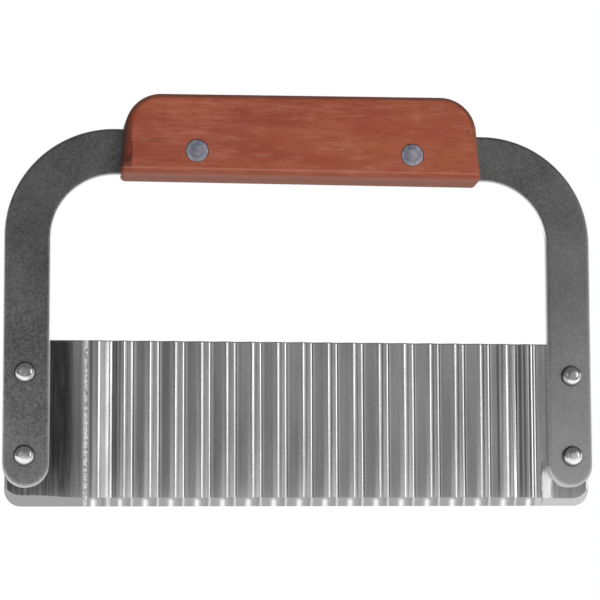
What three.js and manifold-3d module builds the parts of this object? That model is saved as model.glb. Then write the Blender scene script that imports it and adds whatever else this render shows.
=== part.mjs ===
// A garnish serrator: a wavy stainless blade riveted behind the legs of a flat U-shaped frame,
// with a slotted wooden grip on the frame's crossbar.
// Lengths are in millimetres. X runs along the blade, Y from the front to the back and Z up,
// away from the cutting edge. The origin is midway between the grip's two rivets, in the middle
// of the strap's thickness.
import * as THREE from "three";
import { mergeVertices } from "three/addons/utils/BufferGeometryUtils.js";
import Module from "manifold-3d";

const wasm = await Module();
wasm.setup();

// Frame: a flat strap bent in its own plane
const FRAME_WIDTH = 179.4;
const STRAP_WIDTH = 13.9;
const CROSSBAR_WIDTH = 14.2;
const STRAP_THICKNESS = 2.5;
const FRAME_OUTER_RADIUS = 33.2;
const FRAME_EDGE_ROUND = 1;

// Blade: a sheet with flat ends and a wavy middle between the frame's legs
const BLADE_END_INSET = 0.8;
const BLADE_HEIGHT = 49.5;
const BLADE_THICKNESS = 0.9;
const BLADE_CORNER_RADIUS = 5;
const BLADE_TOP_CORNER_RADIUS = 2;
const WAVE_PITCH = 7.75;
const WAVE_DEPTH = 1.4;
const WAVE_TO_LEFT_LEG = 12.1;
const LEAST_WAVE_TO_RIGHT_LEG = 3.5;
const BEND_SOFTNESS = 1.3;
const BEVEL_HEIGHT = 3;
const EDGE_LAND = 0.15;

// How frame and blade stand to each other
const EDGE_TO_CROSSBAR = 106.4;
const LEG_END_ABOVE_EDGE = 5.6;

// Blade rivets
const BLADE_RIVET_OUTSIDE_LEG_LINE = 0.5;
const BLADE_RIVET_BELOW_BLADE_TOP = 9.9;
const BLADE_RIVET_ABOVE_LEG_END = 9.4;
const BLADE_RIVET_HEAD_RADIUS = 3.15;
const BLADE_RIVET_HEAD_HEIGHT = 1.6;
const BLADE_RIVET_SHANK_RADIUS = 1.75;
const BLADE_RIVET_TAIL_RADIUS = 2.7;
const BLADE_RIVET_TAIL_HEIGHT = 1;

// Wooden grip
const GRIP_LENGTH = 109;
const GRIP_THICKNESS = 16;
const GRIP_BELOW_STRAP = 0.8;
const GRIP_ABOVE_STRAP = 10.5;
const GRIP_SHIFT_X = -1.1;
const GRIP_TOP_CORNER_RADIUS = 11;
const GRIP_LOWER_CORNER_RADIUS = 3;
const GRIP_END_LEAN = THREE.MathUtils.degToRad(5);
const GRIP_TOP_SLOPE = THREE.MathUtils.degToRad(0.6);
const GRIP_EDGE_ROUND = 2.6;

// Two-piece rivets of the grip
const GRIP_RIVET_SPACING = 65.6;
const GRIP_RIVET_HEAD_RADIUS = 3.3;
const GRIP_RIVET_HEAD_HEIGHT = 1.4;
const GRIP_RIVET_CROWN = 0.25;
const GRIP_RIVET_TUBE_RADIUS = 2.2;
const GRIP_RIVET_BORE_RADIUS = 1.45;
const GRIP_RIVET_PIN_RADIUS = 1.15;
const GRIP_RIVET_TUBE_END_ROOM = 3.6;
const GRIP_RIVET_PIN_END_ROOM = 4.1;

// Clearances round a shank or strap and under a seated face, and how far a cutter overruns
const FIT_GAP = 0.3;
const SEAT_GAP = 0.2;
const OVERRUN = 5;

// Facets
const CORNER_STEPS = 20;
const ROUND_SIDES = 28;
const ROUND_END_STEPS = 14;
const DOME_STEPS = 5;
const FRAME_ROUND_STEPS = 3;
const GRIP_ROUND_STEPS = 4;
const WAVE_STEPS = 14;

// Places that follow from the sizes above
const HALF_STRAP = STRAP_WIDTH / 2;
const HALF_FRAME = FRAME_WIDTH / 2;
const FRAME_FRONT = -STRAP_THICKNESS / 2;
const FRAME_BACK = STRAP_THICKNESS / 2;
const EDGE_Z = -EDGE_TO_CROSSBAR;
const LEG_END_Z = EDGE_Z + LEG_END_ABOVE_EDGE;
const BLADE_TOP_Z = EDGE_Z + BLADE_HEIGHT;
const BLADE_MID_Y = FRAME_BACK + SEAT_GAP + BLADE_THICKNESS / 2;
const BLADE_BACK_Y = BLADE_MID_Y + BLADE_THICKNESS / 2;
const LEG_X = HALF_FRAME - HALF_STRAP;
const LEG_INNER_X = HALF_FRAME - STRAP_WIDTH;
const BLADE_END_X = HALF_FRAME - BLADE_END_INSET;
const WAVE_START_X = WAVE_TO_LEFT_LEG - LEG_INNER_X;
const WAVE_ROOM = LEG_INNER_X - LEAST_WAVE_TO_RIGHT_LEG - WAVE_START_X;
const WAVE_CRESTS = Math.floor(WAVE_ROOM / WAVE_PITCH + 1 / 2);
const WAVE_END_X = WAVE_START_X + (WAVE_CRESTS - 1 / 2) * WAVE_PITCH;
const CROSSBAR_BOTTOM_Z = HALF_STRAP - CROSSBAR_WIDTH;
const GRIP_BOTTOM_Z = CROSSBAR_BOTTOM_Z - GRIP_BELOW_STRAP;
const GRIP_TOP_Z = HALF_STRAP + GRIP_ABOVE_STRAP;
const GRIP_FRONT = -GRIP_THICKNESS / 2;
const GRIP_BACK = GRIP_THICKNESS / 2;
const RIVET_X = LEG_X + BLADE_RIVET_OUTSIDE_LEG_LINE;
const RIVET_UPPER_Z = BLADE_TOP_Z - BLADE_RIVET_BELOW_BLADE_TOP;
const RIVET_LOWER_Z = LEG_END_Z + BLADE_RIVET_ABOVE_LEG_END;
const GRIP_RIVET_X = GRIP_RIVET_SPACING / 2;
const GRIP_FRONT_SEAT_Y = GRIP_FRONT + GRIP_RIVET_HEAD_HEIGHT;
const GRIP_BACK_SEAT_Y = GRIP_BACK - GRIP_RIVET_HEAD_HEIGHT;

// Points of an arc in the X-Z plane, from one angle to another
function arc(centreX, centreZ, radius, from, to, steps) {
  const points = [];
  for (let i = 0; i <= steps; i++) {
    const angle = from + ((to - from) * i) / steps;
    points.push(new THREE.Vector2(centreX + radius * Math.cos(angle), centreZ + radius * Math.sin(angle)));
  }
  return points;
}

// An outline drawn in X and Z, given thickness along Y and rounded along both of its edges
function plate(outline, front, back, round, roundSteps) {
  const geometry = new THREE.ExtrudeGeometry(new THREE.Shape(outline), {
    depth: back - front - 2 * round,
    bevelEnabled: round > 0,
    bevelThickness: round,
    bevelSize: round,
    bevelOffset: -round,
    bevelSegments: roundSteps,
  });
  geometry.rotateX(Math.PI / 2);
  geometry.translate(0, back - round, 0);
  return geometry;
}

// A round bar along Y, for drilling
function bar(x, z, radius, front, back) {
  const geometry = new THREE.CylinderGeometry(radius, radius, back - front, ROUND_SIDES);
  geometry.translate(x, (front + back) / 2, z);
  return geometry;
}

// A turned piece with its axis along Y, through the given place
function turned(profile, x, z) {
  const geometry = new THREE.LatheGeometry(profile, ROUND_SIDES);
  geometry.translate(x, 0, z);
  return geometry;
}

// A closed surface as a solid that can be joined and cut
function solidOf(geometry) {
  const bare = geometry.index ? geometry.toNonIndexed() : geometry.clone();
  bare.deleteAttribute("normal");
  bare.deleteAttribute("uv");
  const merged = mergeVertices(bare);
  const corners = merged.index.array;
  const kept = [];
  for (let i = 0; i < corners.length; i += 3) {
    const [a, b, c] = corners.slice(i, i + 3);
    if (a !== b && b !== c && c !== a) kept.push(a, b, c);
  }
  return new wasm.Manifold(
    new wasm.Mesh({
      numProp: 3,
      vertProperties: new Float32Array(merged.attributes.position.array),
      triVerts: new Uint32Array(kept),
    }),
  );
}

function geometryOf(solid) {
  const mesh = solid.getMesh();
  const geometry = new THREE.BufferGeometry();
  geometry.setAttribute("position", new THREE.BufferAttribute(mesh.vertProperties, 3));
  geometry.setIndex(new THREE.BufferAttribute(mesh.triVerts, 1));
  geometry.computeVertexNormals();
  return geometry;
}

// Cuts each of the geometries out of the first one
function cut(geometry, cutters) {
  return geometryOf(cutters.reduce((solid, cutter) => solid.subtract(solidOf(cutter)), solidOf(geometry)));
}

// The frame's U, with round leg ends and a crossbar a little wider than the legs
function frameOutline() {
  const legEndCentreZ = LEG_END_Z + HALF_STRAP;
  const cornerX = HALF_FRAME - FRAME_OUTER_RADIUS;
  const cornerZ = HALF_STRAP - FRAME_OUTER_RADIUS;
  const innerRadius = FRAME_OUTER_RADIUS - STRAP_WIDTH;
  const innerZ = CROSSBAR_BOTTOM_Z - innerRadius;
  return [
    ...arc(-LEG_X, legEndCentreZ, HALF_STRAP, 0, -Math.PI, ROUND_END_STEPS),
    ...arc(-cornerX, cornerZ, FRAME_OUTER_RADIUS, Math.PI, Math.PI / 2, CORNER_STEPS),
    ...arc(cornerX, cornerZ, FRAME_OUTER_RADIUS, Math.PI / 2, 0, CORNER_STEPS),
    ...arc(LEG_X, legEndCentreZ, HALF_STRAP, 0, -Math.PI, ROUND_END_STEPS),
    ...arc(cornerX, innerZ, innerRadius, 0, Math.PI / 2, CORNER_STEPS),
    ...arc(-cornerX, innerZ, innerRadius, Math.PI / 2, Math.PI, CORNER_STEPS),
  ];
}

function frameGeometry() {
  const strap = plate(frameOutline(), FRAME_FRONT, FRAME_BACK, FRAME_EDGE_ROUND, FRAME_ROUND_STEPS);
  const holes = [];
  for (const side of [-1, 1]) {
    holes.push(drillFor(side * GRIP_RIVET_X, 0, GRIP_RIVET_TUBE_RADIUS));
    for (const z of [RIVET_UPPER_Z, RIVET_LOWER_Z]) {
      holes.push(drillFor(side * RIVET_X, z, BLADE_RIVET_SHANK_RADIUS));
    }
  }
  return cut(strap, holes);
}

// A drill for a shank of the given radius, long enough for the whole tool
function drillFor(x, z, shankRadius) {
  return bar(x, z, shankRadius + FIT_GAP, GRIP_FRONT - OVERRUN, GRIP_BACK + OVERRUN);
}

// How far the sheet's middle stands towards the front at x, as a share of the wave's height.
// It is a cosine with 0 outside the wavy part, averaged over the length of a bend, so bends are soft.
function waveShare(x) {
  return (waveSum(x + BEND_SOFTNESS / 2) - waveSum(x - BEND_SOFTNESS / 2)) / BEND_SOFTNESS;
}

function waveSum(x) {
  const inWave = THREE.MathUtils.clamp(x, WAVE_START_X, WAVE_END_X) - WAVE_START_X;
  const turn = (2 * Math.PI) / WAVE_PITCH;
  return (1 - Math.cos(turn * inWave)) / turn;
}

// Averaging flattens the wave by this share, which the height makes up for
function waveHeight() {
  const halfBend = (Math.PI * BEND_SOFTNESS) / WAVE_PITCH;
  return (WAVE_DEPTH / 2) * (halfBend / Math.sin(halfBend));
}

// Where the sheet's middle is at x, and the way its front faces there
function sheetAt(x) {
  const height = waveHeight();
  const step = WAVE_PITCH / WAVE_STEPS;
  const rise = (height * (waveShare(x + step / 2) - waveShare(x - step / 2))) / step;
  const middle = new THREE.Vector2(x, BLADE_MID_Y - height * waveShare(x));
  const facing = new THREE.Vector2(-rise, -1).normalize();
  return { middle, facing };
}

// The places along X where the sheet is drawn: its ends, and evenly through the wave and its last bends
function sheetStations() {
  const step = WAVE_PITCH / WAVE_STEPS;
  const from = WAVE_START_X - BEND_SOFTNESS;
  const to = WAVE_END_X + BEND_SOFTNESS;
  const count = Math.round((to - from) / step);
  const stations = [-BLADE_END_X - OVERRUN];
  for (let i = 0; i <= count; i++) stations.push(from + ((to - from) * i) / count);
  stations.push(BLADE_END_X + OVERRUN);
  return stations;
}

// The wavy sheet with its front ground to a bevel, longer and taller than the blade
function sheetGeometry() {
  const half = BLADE_THICKNESS / 2;
  const rows = [
    { z: EDGE_Z - OVERRUN, front: EDGE_LAND - half },
    { z: EDGE_Z, front: EDGE_LAND - half },
    { z: EDGE_Z + BEVEL_HEIGHT, front: half },
    { z: BLADE_TOP_Z + OVERRUN, front: half },
  ];
  const loop = [
    ...rows.map((row) => ({ z: row.z, offset: row.front })),
    { z: BLADE_TOP_Z + OVERRUN, offset: -half },
    { z: EDGE_Z - OVERRUN, offset: -half },
  ];
  const positions = [];
  const stations = sheetStations();
  for (const x of stations) {
    const { middle, facing } = sheetAt(x);
    for (const { z, offset } of loop) {
      positions.push(middle.x + facing.x * offset, middle.y + facing.y * offset, z);
    }
  }
  const index = [];
  const last = (stations.length - 1) * loop.length;
  for (let i = 0; i < last; i += loop.length) {
    for (let j = 0; j < loop.length; j++) {
      const next = (j + 1) % loop.length;
      const [a, b, c, d] = [i + j, i + next, i + loop.length + next, i + loop.length + j];
      index.push(a, d, c, a, c, b);
    }
  }
  const ends = THREE.ShapeUtils.triangulateShape(
    loop.map(({ z, offset }) => new THREE.Vector2(offset, z)),
    [],
  );
  for (const [a, b, c] of ends) index.push(a, b, c, last + a, last + c, last + b);
  const geometry = new THREE.BufferGeometry();
  geometry.setAttribute("position", new THREE.Float32BufferAttribute(positions, 3));
  geometry.setIndex(index);
  return geometry;
}

// The blade's outline from the front, with larger corners at the cutting edge
function bladeOutline() {
  const lowX = BLADE_END_X - BLADE_CORNER_RADIUS;
  const lowZ = EDGE_Z + BLADE_CORNER_RADIUS;
  const highX = BLADE_END_X - BLADE_TOP_CORNER_RADIUS;
  const highZ = BLADE_TOP_Z - BLADE_TOP_CORNER_RADIUS;
  return [
    ...arc(lowX, lowZ, BLADE_CORNER_RADIUS, -Math.PI / 2, 0, ROUND_END_STEPS),
    ...arc(highX, highZ, BLADE_TOP_CORNER_RADIUS, 0, Math.PI / 2, DOME_STEPS),
    ...arc(-highX, highZ, BLADE_TOP_CORNER_RADIUS, Math.PI / 2, Math.PI, DOME_STEPS),
    ...arc(-lowX, lowZ, BLADE_CORNER_RADIUS, Math.PI, (3 * Math.PI) / 2, ROUND_END_STEPS),
  ];
}

function bladeGeometry() {
  const outline = plate(bladeOutline(), GRIP_FRONT, GRIP_BACK, 0, 0);
  const holes = [];
  for (const side of [-1, 1]) {
    for (const z of [RIVET_UPPER_Z, RIVET_LOWER_Z]) {
      holes.push(drillFor(side * RIVET_X, z, BLADE_RIVET_SHANK_RADIUS));
    }
  }
  return cut(geometryOf(solidOf(sheetGeometry()).intersect(solidOf(outline))), holes);
}

// The profile of a dome, from its top on the axis down to its rim
function dome(radius, seat, height) {
  const quarter = arc(0, 0, 1, Math.PI / 2, 0, DOME_STEPS);
  return quarter.map((p) => new THREE.Vector2(p.x * radius, seat + p.y * height));
}

// A rivet with a domed head in front of the leg and a low set head behind the blade
function bladeRivetGeometry(x, z) {
  const headSeat = FRAME_FRONT - SEAT_GAP;
  const tailSeat = BLADE_BACK_Y + SEAT_GAP;
  const profile = [
    ...dome(BLADE_RIVET_HEAD_RADIUS, headSeat, -BLADE_RIVET_HEAD_HEIGHT),
    new THREE.Vector2(BLADE_RIVET_SHANK_RADIUS, headSeat),
    new THREE.Vector2(BLADE_RIVET_SHANK_RADIUS, tailSeat),
    ...dome(BLADE_RIVET_TAIL_RADIUS, tailSeat, BLADE_RIVET_TAIL_HEIGHT).reverse(),
  ];
  return turned(onAxis(profile), x, z);
}

// Puts a profile's two ends exactly on its axis
function onAxis(profile) {
  profile[0].x = 0;
  profile[profile.length - 1].x = 0;
  return profile;
}

// The grip's outline from the front: leaning ends, wide round top corners, small lower ones,
// and a top edge that rises a little to the right
function gripOutline() {
  const low = GRIP_LOWER_CORNER_RADIUS;
  const high = GRIP_TOP_CORNER_RADIUS;
  const lowX = GRIP_LENGTH / 2 - low;
  const lowZ = GRIP_BOTTOM_Z + low;
  const lean = GRIP_END_LEAN;
  const top = Math.PI / 2 + GRIP_TOP_SLOPE;
  const [leftX, leftZ] = gripTopCorner(-1);
  const [rightX, rightZ] = gripTopCorner(1);
  return [
    ...arc(GRIP_SHIFT_X + lowX, lowZ, low, -Math.PI / 2, lean, DOME_STEPS),
    ...arc(GRIP_SHIFT_X + rightX, rightZ, high, lean, top, CORNER_STEPS),
    ...arc(GRIP_SHIFT_X + leftX, leftZ, high, top, Math.PI - lean, CORNER_STEPS),
    ...arc(GRIP_SHIFT_X - lowX, lowZ, low, Math.PI - lean, (3 * Math.PI) / 2, DOME_STEPS),
  ];
}

// The centre of a wide top corner, which touches both the sloping top edge and a leaning end
function gripTopCorner(side) {
  const high = GRIP_TOP_CORNER_RADIUS;
  const rise = side * Math.tan(GRIP_TOP_SLOPE);
  const inward = Math.tan(GRIP_END_LEAN);
  const lowZ = GRIP_BOTTOM_Z + GRIP_LOWER_CORNER_RADIUS;
  const middle = GRIP_TOP_Z - high / Math.cos(GRIP_TOP_SLOPE);
  const widening = (high - GRIP_LOWER_CORNER_RADIUS) / Math.cos(GRIP_END_LEAN);
  const atLowZ = GRIP_LENGTH / 2 - GRIP_LOWER_CORNER_RADIUS - widening;
  const reach = (atLowZ - (middle - lowZ) * inward) / (1 + rise * inward);
  return [side * reach, middle + rise * reach];
}

// The saw slot that the frame's crossbar lies in, open below and at both ends
function slotGeometry() {
  const height = HALF_STRAP + FIT_GAP - GRIP_BOTTOM_Z + OVERRUN;
  const slot = new THREE.BoxGeometry(GRIP_LENGTH + OVERRUN, STRAP_THICKNESS + 2 * FIT_GAP, height);
  slot.translate(GRIP_SHIFT_X, 0, HALF_STRAP + FIT_GAP - height / 2);
  return slot;
}

function gripGeometry() {
  const block = plate(gripOutline(), GRIP_FRONT, GRIP_BACK, GRIP_EDGE_ROUND, GRIP_ROUND_STEPS);
  const cutters = [slotGeometry()];
  const seatRadius = GRIP_RIVET_HEAD_RADIUS + SEAT_GAP;
  for (const side of [-1, 1]) {
    const x = side * GRIP_RIVET_X;
    cutters.push(drillFor(x, 0, GRIP_RIVET_TUBE_RADIUS));
    cutters.push(bar(x, 0, seatRadius, GRIP_FRONT - OVERRUN, GRIP_FRONT_SEAT_Y + SEAT_GAP));
    cutters.push(bar(x, 0, seatRadius, GRIP_BACK_SEAT_Y - SEAT_GAP, GRIP_BACK + OVERRUN));
  }
  return cut(block, cutters);
}

// The hollow front half: a head and a tube that reaches through the strap
function gripSocketGeometry(x) {
  const headBack = GRIP_FRONT_SEAT_Y;
  const tubeEnd = GRIP_BACK_SEAT_Y - GRIP_RIVET_TUBE_END_ROOM;
  const profile = [
    ...dome(GRIP_RIVET_HEAD_RADIUS, GRIP_FRONT, -GRIP_RIVET_CROWN),
    new THREE.Vector2(GRIP_RIVET_HEAD_RADIUS, headBack),
    new THREE.Vector2(GRIP_RIVET_TUBE_RADIUS, headBack),
    new THREE.Vector2(GRIP_RIVET_TUBE_RADIUS, tubeEnd),
    new THREE.Vector2(GRIP_RIVET_BORE_RADIUS, tubeEnd),
    new THREE.Vector2(GRIP_RIVET_BORE_RADIUS, headBack),
    new THREE.Vector2(0, headBack),
  ];
  return turned(onAxis(profile), x, 0);
}

// The back half: a head and a pin that presses into the tube
function gripPinGeometry(x) {
  const headFront = GRIP_BACK_SEAT_Y;
  const pinEnd = GRIP_FRONT_SEAT_Y + GRIP_RIVET_PIN_END_ROOM;
  const profile = [
    new THREE.Vector2(0, pinEnd),
    new THREE.Vector2(GRIP_RIVET_PIN_RADIUS, pinEnd),
    new THREE.Vector2(GRIP_RIVET_PIN_RADIUS, headFront),
    new THREE.Vector2(GRIP_RIVET_HEAD_RADIUS, headFront),
    ...dome(GRIP_RIVET_HEAD_RADIUS, GRIP_BACK, GRIP_RIVET_CROWN).reverse(),
  ];
  return turned(onAxis(profile), x, 0);
}

// A bare metal of the given colour and roughness
function metal(color, roughness) {
  return new THREE.MeshStandardMaterial({ color, roughness, metalness: 1 });
}

const satinSteel = () => metal(0x83868a, 0.38);
const bladeSteel = () => metal(0x9a9ea3, 0.24);
const rivetSteel = () => metal(0xa9adb1, 0.2);
const gripRivetMetal = () => metal(0x8f98a8, 0.35);
const redWood = () => new THREE.MeshStandardMaterial({ color: 0x9b5544, roughness: 0.55, metalness: 0 });

const serrator = new THREE.Group();

function place(name, geometry, material) {
  const mesh = new THREE.Mesh(geometry, material);
  mesh.name = name;
  serrator.add(mesh);
}

place("handle_frame", frameGeometry(), satinSteel());
place("serrated_blade", bladeGeometry(), bladeSteel());
place("wooden_handle", gripGeometry(), redWood());

const sides = { left: -1, right: 1 };
const levels = { upper: RIVET_UPPER_Z, lower: RIVET_LOWER_Z };
for (const [sideName, side] of Object.entries(sides)) {
  for (const [levelName, z] of Object.entries(levels)) {
    place(`blade_rivet_${sideName}_${levelName}`, bladeRivetGeometry(side * RIVET_X, z), rivetSteel());
  }
  place(`handle_rivet_${sideName}_socket`, gripSocketGeometry(side * GRIP_RIVET_X), gripRivetMetal());
  place(`handle_rivet_${sideName}_pin`, gripPinGeometry(side * GRIP_RIVET_X), gripRivetMetal());
}

export default serrator;
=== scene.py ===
"""Looks of a garnish serrator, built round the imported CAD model.

Sizes are in millimetres until a mesh is made. X runs along the blade, Y from front to back and
Z up, away from the cutting edge. The tool stands on its cutting edge.
"""

import math

import bmesh
import bpy
from mathutils import Matrix, Vector


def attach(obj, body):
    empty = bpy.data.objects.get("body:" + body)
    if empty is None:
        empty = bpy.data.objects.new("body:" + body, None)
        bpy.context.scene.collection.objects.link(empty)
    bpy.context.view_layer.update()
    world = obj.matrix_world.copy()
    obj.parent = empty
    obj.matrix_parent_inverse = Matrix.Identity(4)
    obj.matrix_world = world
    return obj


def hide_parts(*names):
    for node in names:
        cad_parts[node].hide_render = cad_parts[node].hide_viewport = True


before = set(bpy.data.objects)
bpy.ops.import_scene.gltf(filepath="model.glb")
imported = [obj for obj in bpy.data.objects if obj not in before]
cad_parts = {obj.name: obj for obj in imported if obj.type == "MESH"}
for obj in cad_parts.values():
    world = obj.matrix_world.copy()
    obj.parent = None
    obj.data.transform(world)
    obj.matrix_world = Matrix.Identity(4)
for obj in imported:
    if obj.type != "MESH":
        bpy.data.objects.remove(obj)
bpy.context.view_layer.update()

MM = 0.001

# Frame
FRAME_WIDTH = 179.4
STRAP_WIDTH = 13.9
CROSSBAR_WIDTH = 14.2
STRAP_THICKNESS = 2.5
FRAME_OUTER_RADIUS = 33.2
FRAME_EDGE_ROUND = 1.0

# Blade
BLADE_END_INSET = 0.8
BLADE_HEIGHT = 49.5
BLADE_THICKNESS = 0.9
BLADE_CORNER_RADIUS = 5.0
BLADE_TOP_CORNER_RADIUS = 2.0
WAVE_PITCH = 7.75
WAVE_DEPTH = 1.17
WAVE_CRESTS = 18
WAVE_TO_LEFT_LEG = 12.1
BEND_SOFTNESS = 1.3
BEVEL_HEIGHT = 2.6
BEVEL_HEIGHT_AT_SIDE = 1.1
EDGE_LAND = 0.15

# How frame and blade stand to each other
EDGE_TO_CROSSBAR = 106.4
LEG_END_ABOVE_EDGE = 5.6
SEAT_GAP = 0.2

# Rivets
BLADE_RIVET_OUTSIDE_LEG_LINE = 0.5
BLADE_RIVET_BELOW_BLADE_TOP = 9.9
BLADE_RIVET_ABOVE_LEG_END = 9.4
BLADE_RIVET_HEAD_RADIUS = 3.15
BLADE_RIVET_HEAD_HEIGHT = 1.6
BLADE_RIVET_SHANK_RADIUS = 1.75
BLADE_RIVET_TAIL_RADIUS = 2.7
BLADE_RIVET_TAIL_HEIGHT = 1.0
GRIP_RIVET_SPACING = 65.6
GRIP_RIVET_HEAD_RADIUS = 3.3
GRIP_RIVET_HEAD_HEIGHT = 1.4
GRIP_RIVET_CROWN = 0.25
GRIP_RIVET_Z = -0.45
GRIP_RIVET_TUBE_RADIUS = 2.2
GRIP_RIVET_BORE_RADIUS = 1.45
GRIP_RIVET_PIN_RADIUS = 1.15
GRIP_RIVET_TUBE_END_ROOM = 3.6
GRIP_RIVET_PIN_END_ROOM = 4.1

# Grip
GRIP_LENGTH = 109.6
GRIP_THICKNESS = 16.0
GRIP_BELOW_STRAP = 0.8
GRIP_ABOVE_STRAP = 10.5
GRIP_SHIFT_X = -0.8
GRIP_TOP_CORNER_RADIUS = 11.0
GRIP_LOWER_CORNER_RADIUS = 3.0
GRIP_LEFT_LEAN = math.radians(6.8)
GRIP_RIGHT_LEAN = math.radians(5)
GRIP_TOP_SLOPE = math.radians(0.6)
GRIP_EDGE_ROUND = 2.6
SLOT_GAP = 0.05

HALF_STRAP = STRAP_WIDTH / 2
HALF_FRAME = FRAME_WIDTH / 2
LEG_X = HALF_FRAME - HALF_STRAP
FRAME_FRONT = -STRAP_THICKNESS / 2
FRAME_BACK = STRAP_THICKNESS / 2
EDGE_Z = -EDGE_TO_CROSSBAR
LEG_END_Z = EDGE_Z + LEG_END_ABOVE_EDGE
BLADE_TOP_Z = EDGE_Z + BLADE_HEIGHT
BLADE_END_X = HALF_FRAME - BLADE_END_INSET
BLADE_MID_Y = FRAME_BACK + SEAT_GAP + BLADE_THICKNESS / 2
WAVE_START_X = WAVE_TO_LEFT_LEG - (HALF_FRAME - STRAP_WIDTH)
WAVE_END_X = WAVE_START_X + (WAVE_CRESTS - 0.5) * WAVE_PITCH
CROSSBAR_BOTTOM_Z = HALF_STRAP - CROSSBAR_WIDTH
GRIP_BOTTOM_Z = CROSSBAR_BOTTOM_Z - GRIP_BELOW_STRAP
GRIP_TOP_Z = HALF_STRAP + GRIP_ABOVE_STRAP
GRIP_FRONT = -GRIP_THICKNESS / 2
GRIP_BACK = GRIP_THICKNESS / 2
RIVET_X = LEG_X + BLADE_RIVET_OUTSIDE_LEG_LINE
RIVET_UPPER_Z = BLADE_TOP_Z - BLADE_RIVET_BELOW_BLADE_TOP
RIVET_LOWER_Z = LEG_END_Z + BLADE_RIVET_ABOVE_LEG_END
GRIP_RIVET_X = GRIP_RIVET_SPACING / 2


# Node helpers


class Nodes:
    """A material's or world's node tree, with short ways to add to it."""

    def __init__(self, tree):
        self.tree = tree
        tree.nodes.clear()

    def add(self, kind, inputs=None, **settings):
        node = self.tree.nodes.new("ShaderNode" + kind)
        for key, value in settings.items():
            setattr(node, key, value)
        for key, value in (inputs or {}).items():
            self.put(value, node.inputs[key])
        return node

    def put(self, value, socket):
        if isinstance(value, bpy.types.NodeSocket):
            self.tree.links.new(value, socket)
        elif isinstance(value, bpy.types.Node):
            self.tree.links.new(value.outputs[0], socket)
        else:
            socket.default_value = value

    def math(self, operation, a, b=0.0):
        return self.add("Math", {0: a, 1: b}, operation=operation).outputs[0]

    def times(self, a, b):
        return self.math("MULTIPLY", a, b)

    def plus(self, value, more, share=1.0):
        """A value plus a share of another."""
        return self.math("ADD", value, more if share == 1.0 else self.times(more, share))

    def attribute(self, name):
        """What paint() stored on the mesh under a name."""
        return self.add("Attribute", attribute_name=name).outputs["Fac"]

    def along(self, axis, vector):
        """A place's distance along an axis in millimetres."""
        return self.times(self.add("SeparateXYZ", {0: vector}).outputs[axis], 1 / MM)

    def ramp(self, value, stops):
        node = self.add("ValToRGB", {"Fac": value})
        ramp = node.color_ramp
        while len(ramp.elements) > 1:
            ramp.elements.remove(ramp.elements[-1])
        for i, (position, colour) in enumerate(stops):
            element = ramp.elements[0] if i == 0 else ramp.elements.new(position)
            element.position = position
            element.color = colour
        return node.outputs["Color"]

    def mapped(self, vector, scale, offset=(0, 0, 0)):
        return self.add("Mapping", {"Vector": vector, "Scale": scale, "Location": offset}).outputs[0]

    def noise(self, vector, scale, detail=2.0, roughness=0.5, distortion=0.0):
        inputs = {"Vector": vector, "Scale": scale, "Detail": detail, "Roughness": roughness}
        return self.add("TexNoise", {**inputs, "Distortion": distortion}).outputs["Fac"]

    def between(self, value, low, high, to_low, to_high):
        node = self.add(
            "MapRange",
            {"Value": value, "From Min": low, "From Max": high, "To Min": to_low, "To Max": to_high},
        )
        return node.outputs["Result"]

    def mix(self, factor, a, b):
        node = self.add("Mix", data_type="RGBA")
        self.put(factor, node.inputs["Factor"])
        self.put(a, node.inputs["A"])
        self.put(b, node.inputs["B"])
        return node.outputs["Result"]

    def surface(self, sockets, height, strength, depth):
        """Ends a material with a surface and a fine relief, whose depth is in millimetres."""
        relief = {"Strength": strength, "Distance": depth * MM, "Height": height}
        sockets["Normal"] = self.add("Bump", relief).outputs[0]
        self.add("OutputMaterial", {"Surface": self.add("BsdfPrincipled", sockets)})


def srgb(red, green, blue):
    """A colour written as it shows on a screen, from 0 to 255, as linear values."""

    def linear(v):
        v /= 255
        return v / 12.92 if v <= 0.04045 else ((v + 0.055) / 1.055) ** 2.4

    return (linear(red), linear(green), linear(blue), 1)


def grey(level):
    """A grey from 0 to 1 as a linear value."""
    return (level, level, level, 1)


def srgb_grey(level):
    """A grey as it shows on a screen, from 0 to 255."""
    return srgb(level, level, level)


def add_object(name, data):
    thing = bpy.data.objects.new(name, data)
    bpy.context.scene.collection.objects.link(thing)
    return thing


def new_material(name):
    material = bpy.data.materials.new(name)
    material.use_nodes = True
    return material, Nodes(material.node_tree)


# The legs are darker from here down to there
DARK_FEET_FROM_Z = -70
DARK_FEET_TO_Z = -95


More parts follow.
